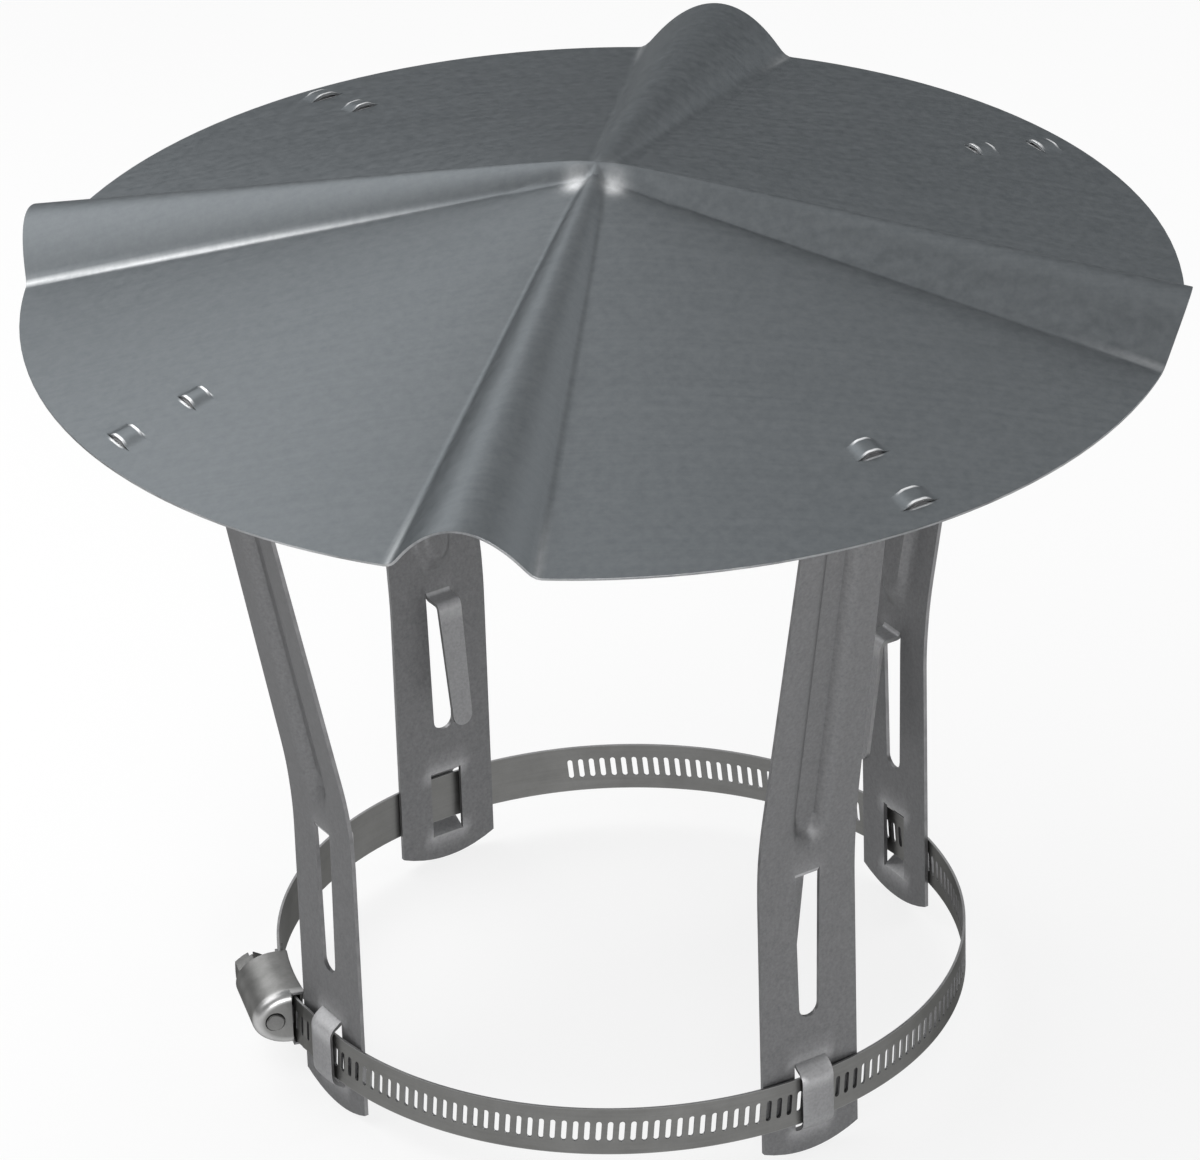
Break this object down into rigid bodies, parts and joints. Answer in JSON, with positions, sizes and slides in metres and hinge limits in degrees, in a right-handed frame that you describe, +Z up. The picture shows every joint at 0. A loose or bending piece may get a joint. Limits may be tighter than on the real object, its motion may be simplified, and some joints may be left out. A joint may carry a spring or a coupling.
{
  "type": "chimney rain cap",
  "caption": "Round pressed-steel rain cap for a chimney flue: a low ribbed cone roof on bent strip legs with rim hooks, held round the pipe by a slotted worm-drive band clamp.",
  "frame": {"origin": "on the cap's axis, level with its four leg tips", "axes": "+Z up along the cap's axis; the legs stand on the X and Y axes, leg_front at -Y"},
  "size_m": [0.273, 0.273, 0.2317],
  "materials": {
    "galvanized_sheet": "satin rolled galvanized sheet",
    "galvanized_strip": "dull galvanized strip, bright where it is drawn",
    "stainless_band": "satin stainless strip",
    "stainless_stamping": "satin drawn stainless sheet",
    "zinc_plated_screw": "satin plated steel"
  },
  "bodies": {
    "cap": {"roof": "galvanized_sheet", "leg_front": "galvanized_strip", "leg_right": "galvanized_strip", "leg_back": "galvanized_strip", "leg_left": "galvanized_strip"},
    "clamp": {"clamp_band": "stainless_band", "clamp_housing": "stainless_stamping", "clamp_saddle": "stainless_stamping"},
    "screw": {"worm_screw": "zinc_plated_screw"}
  },
  "joints": [
    {"name": "clamp_turn", "type": "hinge", "parent": "cap", "child": "clamp", "pos_m": [0, 0, 0.016], "axis": [0, 0, 1], "range_deg": [-53.8, 1]},
    {"name": "screw_turn", "type": "hinge", "parent": "clamp", "child": "screw", "pos_m": [-0.08578, 0.02706, 0.016], "axis": [-0.3008, -0.9537, 0], "continuous": true}
  ]
}
